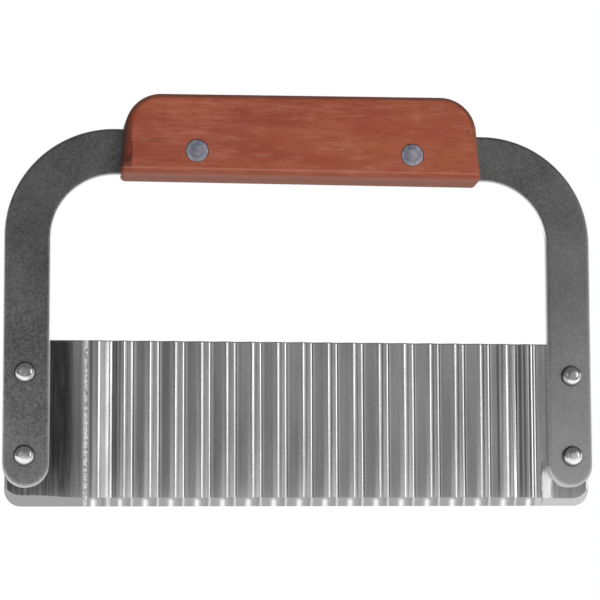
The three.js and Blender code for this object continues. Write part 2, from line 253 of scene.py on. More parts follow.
def frame_steel():
    """Satin steel of the frame: fine mottling, faint scratches, brighter edges that are smoother from
    rubbing and carry a painted highlight, and painted light on a rougher right leg.
    """
    material, n = new_material("satin_steel")
    place = n.add("TexCoord").outputs["Object"]
    edge = n.attribute("edge")
    brushed_and_lit = n.attribute("brushed_and_lit")
    mottle = n.noise(place, 1300, 3, 0.6)
    cloud = n.noise(place, 60, 2, 0.5)
    scratch = n.noise(n.mapped(place, (1, 1, 0.08)), 2600, 1, 0.4)
    tone = n.plus(n.times(mottle, 0.6), cloud, 0.4)
    # Painted highlight: the rounded edges are painted a lighter grey, and are also smoother
    rubbed_edge_highlight = n.between(edge, 0.12, 0.5, 0.0, 1.0)
    feet = n.between(n.along("Z", place), DARK_FEET_TO_Z, DARK_FEET_FROM_Z, 0.3, 0.0)
    colour = n.ramp(tone, [(0.34, srgb_grey(136)), (0.66, srgb_grey(188))])
    colour = n.mix(rubbed_edge_highlight, colour, srgb_grey(240))
    # Painted light on the right leg, which is also rougher
    colour = n.mix(n.times(brushed_and_lit, 0.5), colour, srgb_grey(218))
    colour = n.mix(feet, colour, srgb_grey(118))
    roughness = n.plus(n.between(mottle, 0.3, 0.7, 0.33, 0.45), rubbed_edge_highlight, -0.19)
    roughness = n.plus(roughness, brushed_and_lit, 0.1)
    height = n.times(n.plus(mottle, scratch, 0.5), n.between(edge, 0.0, 0.15, 1.0, 0.15))
    sockets = {"Base Color": colour, "Metallic": 1.0, "Roughness": roughness}
    n.surface(sockets, height, strength=0.25, depth=0.06)
    return material


def blade_steel():
    """Bright rolled steel, with a scuffed line before the first bend and a ground bevel with painted
    highlights and painted shade.
    """
    material, n = new_material("blade_steel")
    place = n.add("TexCoord").outputs["Object"]
    ground = n.attribute("ground")
    fine = n.noise(n.mapped(place, (1, 1, 0.06)), 1400, 3, 0.6)
    cloud = n.noise(n.mapped(place, (1, 1, 0.25)), 110, 3, 0.55)
    grit = n.noise(place, 2200, 2, 0.6)
    coarse = n.between(n.noise(place, 900, 2, 0.6), 0.36, 0.62, 0.0, 1.0)
    jagged = n.times(n.attribute("scuff"), n.plus(0.5, coarse, 0.8))
    scuffed = n.between(jagged, 0.25, 0.55, 0.0, 1.0)
    colour = n.ramp(cloud, [(0.34, srgb_grey(205)), (0.66, srgb_grey(228))])
    # The bevel's colour: painted shade, up to painted highlights on the crests
    bevel = n.ramp(ground, [(0.0, srgb_grey(220)), (0.2, srgb_grey(150)), (1.0, srgb_grey(248))])
    colour = n.mix(n.between(ground, 0.05, 0.2, 0.0, 1.0), colour, bevel)
    speck = n.ramp(grit, [(0.36, srgb_grey(150)), (0.56, srgb_grey(250))])
    colour = n.mix(scuffed, colour, speck)
    roughness = n.plus(n.between(fine, 0.3, 0.7, 0.1, 0.16), scuffed, 0.5)
    roughness = n.plus(roughness, n.between(ground, 0.05, 0.2, 0.0, 0.12))
    roughness = n.plus(roughness, n.attribute("rub"))
    metal = n.between(scuffed, 0.0, 1.0, 1.0, 0.5)
    height = n.plus(fine, n.times(scuffed, n.times(grit, 14.0)))
    sockets = {"Base Color": colour, "Metallic": metal, "Roughness": roughness}
    n.surface(sockets, height, strength=0.12, depth=0.04)
    return material


def rivet_steel():
    """Bright domed rivets, faintly peened, with a dark rim of painted shade and painted reflection,
    and a duller crown.
    """
    material, n = new_material("rivet_steel")
    peen = n.noise(n.add("TexCoord").outputs["Object"], 900, 2, 0.5)
    colour = n.ramp(peen, [(0.3, srgb_grey(222)), (0.7, srgb_grey(240))])
    # The dark rim is painted shade and a painted dark reflection where the dome turns to its seat
    colour = n.mix(n.attribute("rim"), colour, srgb_grey(98))
    roughness = n.plus(n.between(peen, 0.3, 0.7, 0.15, 0.24), n.attribute("crown"), 0.16)
    sockets = {"Base Color": colour, "Metallic": 1.0, "Roughness": roughness}
    n.surface(sockets, peen, strength=0.2, depth=0.06)
    return material


def grip_rivet_metal():
    """Bluish dull metal of the grip's rivets, ground flush and patchy."""
    material, n = new_material("grip_rivet_metal")
    patch = n.noise(n.add("TexCoord").outputs["Object"], 420, 3, 0.6)
    colour = n.ramp(
        patch,
        [(0.36, srgb(162, 164, 180)), (0.5, srgb(200, 198, 214)), (0.64, srgb(232, 228, 238))],
    )
    colour = n.mix(n.times(n.attribute("ring"), 0.5), colour, srgb(128, 138, 158))
    roughness = n.between(patch, 0.3, 0.7, 0.42, 0.3)
    sockets = {"Base Color": colour, "Metallic": 0.85, "Roughness": roughness}
    n.surface(sockets, patch, strength=0.3, depth=0.08)
    return material


# Where the wood's painted shade at the left end fades to the right, towards the foot and towards the
# top, how far its edge wanders, and where the painted shade along the left edge fades at mid-height
LEFT_END_SHADE_XS = (-52.5, -52.0)
LEFT_END_SHADE_FOOT_ZS = (-6.5, -3.5)
LEFT_END_SHADE_TOP_ZS = (4.0, 9.0)
RAGGED = 1.2
LEFT_EDGE_SHADE_XS = (-54.7, -53.5)

# Heights over the grip's bottom: of the painted light on the lower rounding, the painted light on
# the underside, the painted highlight with its half width, and the stretch in which the finish gets
# its shine
PAINTED_LIGHT_BAND = (0.6, 2.4)
PAINTED_LIGHT_UNDERSIDE = (0.05, 0.9)
HIGHLIGHT_HEIGHT = 2.25
HIGHLIGHT_HALF_WIDTH = (0.1, 0.45)
SHINE_STARTS = (0.4, 3.5)


def wood_grain(n, place, fine):
    """The wood's own colour, with its pores, flecks and warmer parts, and its pores by themselves."""
    wide = n.noise(n.mapped(place, (0.16, 1, 1)), 260, 3, 0.6, 0.3)
    patch = n.noise(n.mapped(place, (0.5, 1, 1)), 60, 2, 0.5)
    pore = n.noise(n.mapped(place, (0.12, 1, 1)), 2300, 1, 0.5)
    fleck = n.noise(n.mapped(place, (0.2, 1, 1)), 700, 3, 0.6)
    blush = n.noise(n.mapped(place, (0.4, 1, 1), (0.31, 0.17, 0.05)), 130, 2, 0.5)
    colour = n.ramp(
        n.plus(n.times(wide, 0.6), fine, 0.4),
        [
            (0.34, srgb(134, 57, 38)),
            (0.45, srgb(152, 75, 52)),
            (0.55, srgb(164, 87, 64)),
            (0.68, srgb(179, 108, 87)),
        ],
    )
    colour = n.mix(n.between(patch, 0.4, 0.62, 0.0, 0.55), colour, srgb(166, 88, 54))
    pores = n.between(pore, 0.62, 0.72, 0.0, 0.45)
    colour = n.mix(pores, colour, srgb(108, 48, 38))
    colour = n.mix(n.between(blush, 0.5, 0.66, 0.0, 0.5), colour, srgb(146, 60, 44))
    colour = n.mix(n.between(fleck, 0.52, 0.72, 0.0, 0.36), colour, srgb(186, 124, 100))
    return colour, pores


def wood_mottle_and_shade(n, place, colour, ragged):
    """Adds painted shade along the rounded top edges, the fine mottle, and painted shade over the left
    end and along its edge.
    """
    rim = n.attribute("rim")
    x, z = n.along("X", place), n.along("Z", place)
    # Greyish painted shade along the rounded top edges
    colour = n.mix(n.times(rim, 0.8), colour, srgb(84, 62, 56))
    mottle = n.noise(place, 2600, 2, 0.6)
    colour = n.mix(n.between(mottle, 0.36, 0.64, 0.0, 0.3), colour, srgb(112, 52, 40))
    # Painted shade over the left end and its rounding, mottled
    shade_noise = n.noise(n.mapped(place, (1, 1, 0.35)), 520, 2, 0.5)
    left_end_shade = n.ramp(shade_noise, [(0.4, srgb(70, 28, 22)), (0.62, srgb(116, 52, 40))])
    left_end_shaded = n.between(n.plus(x, ragged), *LEFT_END_SHADE_XS, 0.92, 0.0)
    left_end_shaded = n.times(left_end_shaded, n.between(z, *LEFT_END_SHADE_FOOT_ZS, 0.25, 1.0))
    left_end_shaded = n.times(left_end_shaded, n.between(z, *LEFT_END_SHADE_TOP_ZS, 1.0, 0.5))
    colour = n.mix(n.times(left_end_shaded, n.math("SUBTRACT", 1.0, rim)), colour, left_end_shade)
    # Painted shade along the left edge
    left_edge_shade = n.between(n.plus(x, z, -math.tan(GRIP_LEFT_LEAN)), *LEFT_EDGE_SHADE_XS, 0.75, 0.0)
    return n.mix(left_edge_shade, colour, srgb(74, 52, 48))


def wood_foot_painted_light(n, above, colour, ragged):
    """Adds painted light along the grip's foot: on the lower rounding, on the underside and as a thin
    highlight.
    """
    # Painted light on the lower rounding
    lit_band = n.between(n.plus(above, ragged), *PAINTED_LIGHT_BAND, 0.5, 0.0)
    colour = n.mix(lit_band, colour, srgb(158, 104, 90))
    # Painted light on the underside
    colour = n.mix(n.between(above, *PAINTED_LIGHT_UNDERSIDE, 0.5, 0.0), colour, srgb(196, 150, 138))
    # A painted highlight along the foot
    off_foot_highlight = n.math("ABSOLUTE", n.math("SUBTRACT", above, HIGHLIGHT_HEIGHT))
    foot_highlight = n.between(n.plus(off_foot_highlight, ragged, 0.6), *HIGHLIGHT_HALF_WIDTH, 0.35, 0.0)
    return n.mix(foot_highlight, colour, srgb(196, 138, 120))


def red_wood():
    """Reddish-brown wood with a fine straight grain, short pores and a thin finish, with painted shade
    at its left end and top edges and painted light along its foot.
    """
    material, n = new_material("red_wood")
    place = n.add("TexCoord").outputs["Object"]
    fine = n.noise(n.mapped(place, (0.12, 1, 1)), 1300, 3, 0.65)
    ragged = n.times(n.math("SUBTRACT", fine, 0.5), RAGGED)
    above = n.math("SUBTRACT", n.along("Z", place), GRIP_BOTTOM_Z)
    colour, pores = wood_grain(n, place, fine)
    colour = wood_mottle_and_shade(n, place, colour, ragged)
    colour = wood_foot_painted_light(n, above, colour, ragged)
    sockets = {
        "Base Color": colour,
        "Roughness": n.between(fine, 0.3, 0.7, 0.42, 0.58),
        "Specular IOR Level": n.between(above, *SHINE_STARTS, 0.0, 0.3),
    }
    n.surface(sockets, n.plus(n.times(fine, 0.6), pores, -0.8), strength=0.35, depth=0.08)
    return material


# Mesh helpers

MERGE_DISTANCE = 0.0001


def finish_piece(mesh, shape, material, nodes, sharp):
    """Makes a shaped mesh a piece of the object, standing for CAD nodes. Sharp is in degrees."""
    bmesh.ops.recalc_face_normals(shape, faces=shape.faces)
    shape.to_mesh(mesh)
    shape.free()
    mesh.shade_smooth()
    mesh.set_sharp_from_angle(angle=math.radians(sharp))
    mesh.materials.append(material)
    piece = add_object(mesh.name, mesh)
    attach(piece, "root")
    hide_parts(*nodes)
    return piece


def add_piece(name, points, faces, material, nodes, sharp=35):
    """A piece of the object from points in millimetres, standing for CAD nodes."""
    mesh = bpy.data.meshes.new(name)
    mesh.from_pydata([Vector(p) * MM for p in points], [], faces)
    shape = bmesh.new()
    shape.from_mesh(mesh)
    bmesh.ops.remove_doubles(shape, verts=shape.verts, dist=MERGE_DISTANCE * MM)
    return finish_piece(mesh, shape, material, nodes, sharp)


def paint(piece, name, value_at):
    """Stores a value for each vertex, from a function of its place in millimetres."""
    mesh = piece.data
    layer = mesh.attributes.new(name, "FLOAT", "POINT")
    values = [min(max(value_at(*(vertex.co / MM)), 0.0), 1.0) for vertex in mesh.vertices]
    layer.data.foreach_set("value", values)


def ease(value, low, high):
    """Rises smoothly from 0 to 1 while the value goes from low to high."""
    share = min(max((value - low) / (high - low), 0.0), 1.0)
    return share * share * (3 - 2 * share)


def window(value, rise_from, rise_to, fall_from, fall_to):
    """Rises smoothly from 0 to 1 between the first two values, and falls back between the others."""
    return ease(value, rise_from, rise_to) * (1 - ease(value, fall_from, fall_to))


def peak(value, middle, width):
    """A smooth bump of height 1 at the middle, which is down to a third at the width."""
    return math.exp(-(((value - middle) / width) ** 2))


def arc(centre_x, centre_z, radius, start, end, steps):
    """Points of an arc in the X-Z plane."""
    points = []
    for i in range(steps + 1):
        angle = start + (end - start) * i / steps
        points.append((centre_x + radius * math.cos(angle), centre_z + radius * math.sin(angle)))
    return points


def rounded_rows(front, radius, face_inset, steps):
    """Rows of (inset, y) from inside a front face out to its edge and round it."""
    rows = [(radius + face_inset, front)]
    for i in range(steps + 1):
        angle = math.pi / 2 * i / steps
        rows.append((radius * (1 - math.sin(angle)), front + radius * (1 - math.cos(angle))))
    return rows


def mirrored(rows):
    """Rows of (inset, y) followed by the same rows on the other side, in reverse."""
    return rows + [(inset, -y) for inset, y in reversed(rows)]


def bridge(faces, first, second, count):
    """Quads between two closed rows of as many points, which start at the given indices."""
    for i in range(count):
        j = (i + 1) % count
        faces.append((first + i, first + j, second + j, second + i))


def add_row(shape, outline, y):
    """New vertices along an outline of (x, z) pairs, at a depth y."""
    return [shape.verts.new(Vector((x, y, z)) * MM) for x, z in outline]


def join_rings(shape, ring, next_ring):
    """Quads between two closed rings of as many vertices."""
    for i in range(len(ring)):
        j = (i + 1) % len(ring)
        shape.faces.new((ring[i], ring[j], next_ring[j], next_ring[i]))


def ring_edges(shape, ring):
    return [shape.edges.get((ring[i], ring[(i + 1) % len(ring)])) for i in range(len(ring))]


def lathe(profile, x, z, sides):
    """Points and faces of a piece turned about an axis along Y, from (radius, y) pairs on it."""
    points = []
    faces = []
    for radius, y in profile:
        for i in range(sides):
            angle = 2 * math.pi * i / sides
            points.append((x + radius * math.cos(angle), y, z + radius * math.sin(angle)))
    for i in range(len(profile) - 1):
        bridge(faces, i * sides, (i + 1) * sides, sides)
    return points, faces


# Frame piece

CORNER_STEPS = 40
ROUND_END_STEPS = 36
ROUND_STEPS = 6

# How far inside the rounded edge the flat faces start
FRAME_FACE_INSET = 0.4

# The right leg's part with painted light, which is also rougher, starts and is full at these places,
# across and downwards
BRUSHED_AND_LIT_XS = (45, 80)
BRUSHED_AND_LIT_DEPTHS = (8, 50)


def frame_loop(inset):
    """The frame's outline, drawn in from its edge by an inset."""
    leg_end_z = LEG_END_Z + HALF_STRAP
    corner_x = HALF_FRAME - FRAME_OUTER_RADIUS
    corner_z = HALF_STRAP - FRAME_OUTER_RADIUS
    outer = FRAME_OUTER_RADIUS - inset
    inner = FRAME_OUTER_RADIUS - STRAP_WIDTH + inset
    inner_z = CROSSBAR_BOTTOM_Z + inset - inner
    end = HALF_STRAP - inset
    half_turn = math.pi
    return [
        *arc(-LEG_X, leg_end_z, end, 0, -half_turn, ROUND_END_STEPS),
        *arc(-corner_x, corner_z, outer, half_turn, half_turn / 2, CORNER_STEPS),
        *arc(corner_x, corner_z, outer, half_turn / 2, 0, CORNER_STEPS),
        *arc(LEG_X, leg_end_z, end, 0, -half_turn, ROUND_END_STEPS),
        *arc(corner_x, inner_z, inner, 0, half_turn / 2, CORNER_STEPS),
        *arc(-corner_x, inner_z, inner, half_turn / 2, half_turn, CORNER_STEPS),
    ]


def strap_caps(faces, start, flip):
    """Fills the flat face between the outer and the inner side of the strap with quads."""
    parts = []
    first = 0
    for steps in (ROUND_END_STEPS, CORNER_STEPS, CORNER_STEPS) * 2:
        parts.append(list(range(first, first + steps + 1)))
        first += steps + 1
    left_end, outer_left, outer_right, right_end, inner_right, inner_left = parts
    outer = [left_end[-1], *outer_left, *outer_right, right_end[0]]
    inner = [right_end[-1], *inner_right, *inner_left, left_end[0]][::-1]
    made = [(outer[i], outer[i + 1], inner[i + 1], inner[i]) for i in range(len(outer) - 1)]
    for end in (left_end, right_end):
        for i in range(len(end) // 2):
            corners = [end[i], end[i + 1], end[-2 - i], end[-1 - i]]
            made.append(tuple(dict.fromkeys(corners)))
    for face in made:
        if len(face) > 2:
            faces.append(tuple(start + i for i in (face[::-1] if flip else face)))


def make_frame(material):
    """The strap, as a row of outlines from its front face round the edge to its back face."""
    points = []
    faces = []
    rows = mirrored(rounded_rows(FRAME_FRONT, FRAME_EDGE_ROUND, FRAME_FACE_INSET, ROUND_STEPS))
    for inset, y in rows:
        points += [(x, y, z) for x, z in frame_loop(inset)]
    count = len(points) // len(rows)
    for i in range(len(rows) - 1):
        bridge(faces, i * count, (i + 1) * count, count)
    strap_caps(faces, 0, False)
    strap_caps(faces, (len(rows) - 1) * count, True)
    piece = add_piece("frame_strap", points, faces, material, ["handle_frame"])
    paint(piece, "edge", lambda x, y, z: (STRAP_THICKNESS / 2 - abs(y)) / FRAME_EDGE_ROUND)
    # Painted light on the right leg, lower down, which is also rougher
    paint(piece, "brushed_and_lit", lambda x, y, z: ease(x, *BRUSHED_AND_LIT_XS) * ease(-z, *BRUSHED_AND_LIT_DEPTHS))


# Blade piece

WAVE_STEPS = 40
CORNER_COLUMNS = 16
END_COLUMNS = 12
TOP_ROUND = 0.3
TOP_ROUND_STEPS = 3
END_CHAMFER = 0.8
END_CHAMFER_DEPTH = 0.18

# Where each front face has its rows, as shares of its height: the bevel and the face over it
BEVEL_SHARES = (0, 0.3, 0.6, 0.85, 1)
BODY_SHARES = (0.001, 0.02, 0.06, 0.1, 0.15, 0.2, 0.26, 0.33, 0.42, 0.52, 0.64, 0.76, 0.88, 0.98, 1)

# The bevel runs up round each lower corner over this length. It is higher at the left end and
# lower at the right one.
BEVEL_TURN = BLADE_CORNER_RADIUS + 1
BEVEL_MORE_AT_LEFT = 0.7
BEVEL_LEFT_XS = (66, 80)
BEVEL_LESS_AT_RIGHT = 0.3
BEVEL_RIGHT_XS = (68, 80)

# How far the crests stand to the right of their even places: at the left end, more from the middle
# on, less with each millimetre, and in a slow sway
CREST_SHIFT = -0.5
CREST_SHIFT_GAIN = 0.75
CREST_SHIFT_GAIN_XS = (0, 75)
CREST_SHIFT_LOSS = 0.0007
CREST_SWAY = 0.06
CREST_SWAY_TURN = 0.37

# The first crest and the last ones stand further to the right still
FIRST_CREST_SHIFT = 1.15
FIRST_CREST_AT = (-56.8, 1.9)
LAST_CREST_SHIFT = 0.3
LAST_CREST_XS = (58, 64, 68, 71)

# How uneven the waves' height is, as a share of it
HEIGHT_SWAY = 0.02
HEIGHT_SWAY_TURN = 0.9
HIGH_WAVE_GAIN = 0.2
HIGH_WAVE_AT = (66, 5)
LAST_WAVE_LOSS = 0.8
LAST_WAVE_XS = (69.3, 72.3)

# What the crests have beyond a plain wave
STEEPER_FLANK = 0.05
BLUNTER_CREST = 0.0145

# The sheet comes to the front before the waves and goes back along them
LEAD = 0.22
LEAD_XS = (-70.8, -64.5, -60, 0)

# The scuffed line before the first bend, with a small kink
SCUFF_X = -65.1
SCUFF_WIDTH = 0.52
KINK = 0.05
KINK_WIDTH = 0.7

# Fine ripples at the first and the last bend: height, place and width, and radians per millimetre
FIRST_RIPPLE = 0.007
FIRST_RIPPLE_AT = (-58.2, 1.0)
FIRST_RIPPLE_TURN = 10
LAST_RIPPLE = 0.02
LAST_RIPPLE_AT = (65.9, 1.3)
LAST_RIPPLE_TURN = 5.4
LAST_RIPPLE_TURN_UP = 0.07

# After the last wave the sheet steps back, and comes to the front again up to its end
END_STEP = 0.07
END_STEP_XS = (71.1, 71.9)
END_RETURN = 0.15
END_RETURN_XS = (71.8, 77)

# A slow sag of the whole sheet, with radians per millimetre along and up the blade
SAG = 0.02
SAG_TURN = 0.23
SAG_TURN_UP = 0.11

# How light the bevel is painted, from painted shade up to painted highlights: on the flat ends, more
# to the right, and in the waves
BEVEL_LIGHT_ENDS = 0.22
BEVEL_LIGHT_ENDS_GAIN = 0.25
BEVEL_LIGHT_ENDS_GAIN_XS = (0, 60)
BEVEL_LIGHT_WAVES = 0.24

# What shows at a place in each wave: its strength, and its phase and width in pitches. On the bevel
# that is a painted highlight on the crests and a painted light line; the rest only adds roughness
CREST_HIGHLIGHT = 0.76
CREST_HIGHLIGHT_AT = (-0.06, 0.1)
BEVEL_LIGHT_LINE = 0.4
BEVEL_LIGHT_LINE_AT = (0.43, 0.04)
RUBBED_CREST = 0.3
RUBBED_CREST_AT = (-0.01, 0.08)
RUBBED_FLANK = 0.24
RUBBED_FLANK_AT = (0.3, 0.065)

# The first bend is rubbed too, at a place along X with a width
RUBBED_BEND = 0.1
RUBBED_BEND_AT = (-58.8, 1.6)

# Small bends at the two ends of the waves: where each is, the width at which it is down to a third,
# and how far it stands to the back
END_BENDS = (
    (-59.2, 0.85, -0.16),
    (-57.2, 0.45, 0.15),
    (-55.6, 0.9, 0.15),
    (61.4, 0.6, -0.1),
    (63.0, 0.85, 0.15),
    (65.9, 1.2, -0.15),
    (68.4, 0.6, -0.09),
    (69.8, 0.5, -0.09),
    (70.9, 0.7, 0.09),
    (71.9, 0.5, -0.09),
)

# The blade's lower right corner is bent back a little
FLARE_XS = (74.0, 74.5, 77.0, 78.5)
FLARE_HEIGHT = 12.0
FLARE_TILT = math.radians(3.4)


def wave_sum(x):
    """What a plain wave of height 1 sums up to from the first bend to x."""
    inside = min(max(x, WAVE_START_X), WAVE_END_X) - WAVE_START_X
    turn = 2 * math.pi / WAVE_PITCH
    return (1 - math.cos(turn * inside)) / turn


def wave_share(x):
    """How far the sheet stands to the front at x, as a share of the wave's height."""
    x -= crest_drift(x)
    return (wave_sum(x + BEND_SOFTNESS / 2) - wave_sum(x - BEND_SOFTNESS / 2)) / BEND_SOFTNESS


def crest_drift(x):
    """How far the crests stand from their even places."""
    gain = CREST_SHIFT_GAIN * ease(x, *CREST_SHIFT_GAIN_XS)
    sway = CREST_SWAY * math.sin(CREST_SWAY_TURN * x)
    first = FIRST_CREST_SHIFT * peak(x, *FIRST_CREST_AT)
    last = LAST_CREST_SHIFT * window(x, *LAST_CREST_XS)
    return gain + CREST_SHIFT + sway - CREST_SHIFT_LOSS * x + first + last


def wave_height(x):
    """Height of the waves over the sheet's middle at x: the last one is lower."""
    half_bend = math.pi * BEND_SOFTNESS / WAVE_PITCH
    least = WAVE_DEPTH / 2 * half_bend / math.sin(half_bend)
    sway = HEIGHT_SWAY * math.sin(HEIGHT_SWAY_TURN * x + 1)
    uneven = 1 + sway + HIGH_WAVE_GAIN * peak(x, *HIGH_WAVE_AT)
    return least * uneven * (1 - LAST_WAVE_LOSS * ease(x, *LAST_WAVE_XS))


def crest_phase(x):
    """Where x lies in its wave, from -0.5 through 0 on the crest to 0.5, in pitches."""
    share = (x - crest_drift(x) - WAVE_START_X) / WAVE_PITCH - 0.25
    return (share + 0.5) % 1 - 0.5


def crest_bluntness(x):
    """What makes the crests blunter and one flank steeper than in a plain wave."""
    inside = window(x, WAVE_START_X + 1, WAVE_START_X + 4, WAVE_END_X - 4, WAVE_END_X)
    turn = 2 * math.pi * crest_phase(x)
    return inside * (STEEPER_FLANK * math.sin(2 * turn) + BLUNTER_CREST * math.cos(3 * turn))


def end_bends(x):
    """Small bends near the waves' two ends, where the press left the sheet uneven."""
    return sum(depth * peak(x, place, width) for place, width, depth in END_BENDS)


def ripples(x, z):
    """Fine ripples at the first and the last bend, and a slow sag of the whole sheet."""
    first = FIRST_RIPPLE * peak(x, *FIRST_RIPPLE_AT) * math.sin(FIRST_RIPPLE_TURN * x + 0.8)
    last_turn = LAST_RIPPLE_TURN * (x - 65) + LAST_RIPPLE_TURN_UP * (z + 85)
    last = LAST_RIPPLE * peak(x, *LAST_RIPPLE_AT) * math.sin(last_turn)
    return first + last + SAG * math.sin(SAG_TURN_UP * z + SAG_TURN * x)


def sheet_y(x, z):
    """The sheet's middle at a point of the blade, with small irregularities."""
    front = wave_height(x) * wave_share(x) + crest_bluntness(x)
    front += LEAD * window(x, *LEAD_XS) + KINK * peak(x, SCUFF_X, KINK_WIDTH)
    end_step = END_STEP * ease(x, *END_STEP_XS) - END_RETURN * ease(x, *END_RETURN_XS)
    flare = math.tan(FLARE_TILT) * max(0, FLARE_HEIGHT - (z - EDGE_Z)) * window(x, *FLARE_XS)
    return BLADE_MID_Y - front + ripples(x, z) + end_step + end_bends(x) + flare


def blade_columns():
    """Where the blade's mesh has its columns: dense in the waves and at the corners."""
    columns = {side * round(BLADE_END_X - END_CHAMFER, 4) for side in (-1, 1)}
    for radius in (BLADE_CORNER_RADIUS, BLADE_TOP_CORNER_RADIUS):
        for i in range(CORNER_COLUMNS + 1):
            reach = BLADE_END_X - radius + radius * math.sin(math.pi / 2 * i / CORNER_COLUMNS)
            columns.update((round(reach, 4), round(-reach, 4)))
    step = WAVE_PITCH / WAVE_STEPS
    start = WAVE_START_X - 4 * BEND_SOFTNESS
    end = WAVE_END_X + 4 * BEND_SOFTNESS
    count = round((end - start) / step)
    columns.update(round(start + (end - start) * i / count, 4) for i in range(count + 1))
    for side in (-1, 1):
        inner = start if side < 0 else end
        outer = side * (BLADE_END_X - BLADE_CORNER_RADIUS)
        for i in range(END_COLUMNS + 1):
            columns.add(round(inner + (outer - inner) * i / END_COLUMNS, 4))
    return sorted(columns)


def corner_rise(x, radius):
    """How far a rounded corner lifts the outline at x."""
    over = abs(x) - (BLADE_END_X - radius)
    if over <= 0:
        return 0.0
    return radius - math.sqrt(max(radius * radius - over * over, 0.0))


def bevel_rise(x):
    """Height of the bevel's upper line over the cutting edge's line at x."""
    share = min(max((abs(x) - (BLADE_END_X - BEVEL_TURN)) / BEVEL_TURN, 0.0), 1.0)
    height = BEVEL_HEIGHT + BEVEL_MORE_AT_LEFT * ease(-x, *BEVEL_LEFT_XS)
    height -= BEVEL_LESS_AT_RIGHT * ease(x, *BEVEL_RIGHT_XS)
    top = height + (BLADE_CORNER_RADIUS + BEVEL_HEIGHT_AT_SIDE - height) * share**3
    return top - corner_rise(x, BLADE_CORNER_RADIUS)


def blade_section(x):
    """The sheet's outline at x, up its front and down its back: z and distance from its middle."""
    half = BLADE_THICKNESS / 2
    low = EDGE_Z + corner_rise(x, BLADE_CORNER_RADIUS)
    crease = low + bevel_rise(x)
    body_top = BLADE_TOP_Z - corner_rise(x, BLADE_TOP_CORNER_RADIUS) - TOP_ROUND
    end_half = half - END_CHAMFER_DEPTH * max(0, 1 - (BLADE_END_X - abs(x)) / END_CHAMFER)
    front = []
    for share in BEVEL_SHARES:
        depth = EDGE_LAND + (BLADE_THICKNESS - EDGE_LAND) * share
        front.append((low + (crease - low) * share, min(depth - half, end_half)))
    front += [(crease + (body_top - crease) * share, end_half) for share in BODY_SHARES]
    for i in range(1, TOP_ROUND_STEPS + 1):
        turn = math.pi / 2 * i / TOP_ROUND_STEPS
        drop = TOP_ROUND * (1 - math.cos(turn))
        front.append((body_top + TOP_ROUND * math.sin(turn), end_half - drop))
    return front + [(z, -half) for z, offset in reversed(front)]


def make_blade(material):
    """The blade, as a row of sections that follow the waves."""
    points = []
    faces = []
    columns = blade_columns()
    step = WAVE_PITCH / WAVE_STEPS
    for x in columns:
        for z, offset in blade_section(x):
            rise = (sheet_y(x + step / 2, z) - sheet_y(x - step / 2, z)) / step
            facing = Vector((rise, -1)).normalized()
            points.append((x + facing.x * offset, sheet_y(x, z) + facing.y * offset, z))
    count = len(points) // len(columns)
    for i in range(len(columns) - 1):
        bridge(faces, i * count, (i + 1) * count, count)
    last = (len(columns) - 1) * count
    for i in range(count // 2 - 1):
        strip = (i, i + 1, count - 2 - i, count - 1 - i)
        faces.append(strip)
        faces.append(tuple(last + j for j in reversed(strip)))
    nodes = ["serrated_blade"]
    piece = add_piece("wavy_blade", points, faces, material, nodes, sharp=12)
    paint(piece, "scuff", lambda x, y, z: peak(x, SCUFF_X, SCUFF_WIDTH))
    # The bevel, carrying painted highlights and painted shade
    paint(piece, "ground", bevel_painted_light)
    paint(piece, "rub", rub_share)


def bevel_painted_light(x, y, z):
    """How light the bevel is painted: painted shade over most of it and painted highlights, most on
    the crests. Above the bevel it is 0.
    """
    low = EDGE_Z + corner_rise(x, BLADE_CORNER_RADIUS)
    if z > low + bevel_rise(x) + 0.01:
        return 0.0
    if not WAVE_START_X < x < WAVE_END_X:
        return BEVEL_LIGHT_ENDS + BEVEL_LIGHT_ENDS_GAIN * ease(x, *BEVEL_LIGHT_ENDS_GAIN_XS)
    fade = 1 - 0.8 * ease((z - low) / bevel_rise(x), 0.6, 1)
    phase = crest_phase(x)
    crest = CREST_HIGHLIGHT * peak(phase, *CREST_HIGHLIGHT_AT) * fade
    return BEVEL_LIGHT_WAVES + crest + BEVEL_LIGHT_LINE * peak(phase, *BEVEL_LIGHT_LINE_AT)


def rub_share(x, y, z):
    """How far the crests, and the flank on the right of each, are dulled by rubbing."""
    inside = window(x, WAVE_START_X - 1, WAVE_START_X + 2, WAVE_END_X - 6, WAVE_END_X - 3)
    phase = crest_phase(x)
    crest = RUBBED_CREST * peak(phase, *RUBBED_CREST_AT)
    flank = RUBBED_FLANK * peak(phase, *RUBBED_FLANK_AT)
    return RUBBED_BEND * peak(x, *RUBBED_BEND_AT) + inside * (crest + flank)


# Rivets

RIVET_SIDES = 72
DOME_STEPS = 22
HEAD_FLATNESS = 3.0

# Parts of the heads as shares of their radius: the dark rim of painted shade and reflection, its
# wider part low down and how far down that is, the duller crown, and the dark ring of the grip's
# rivets with its width
SHADED_RIM_SHARES = (0.8, 0.94)
LOW_SHADED_RIM_SHARES = (0.7, 0.84)
LOW_SHADED_RIM_DEPTHS = (0.2, 0.7)
LOW_SHADED_RIM = 0.9
CROWN_SHARES = (0.2, 0.5)
RING_AT = (0.56, 0.17)


def dome(radius, seat, height, flatness=2.0):
    """Profile of a dome from its top on the axis down to its rim: flatter on top if over 2."""
    profile = []
    for i in range(DOME_STEPS + 1):
        share = math.sin(math.pi / 2 * i / DOME_STEPS)
        profile.append((radius * share, seat + height * math.sqrt(max(1 - share**flatness, 0.0))))
    return profile


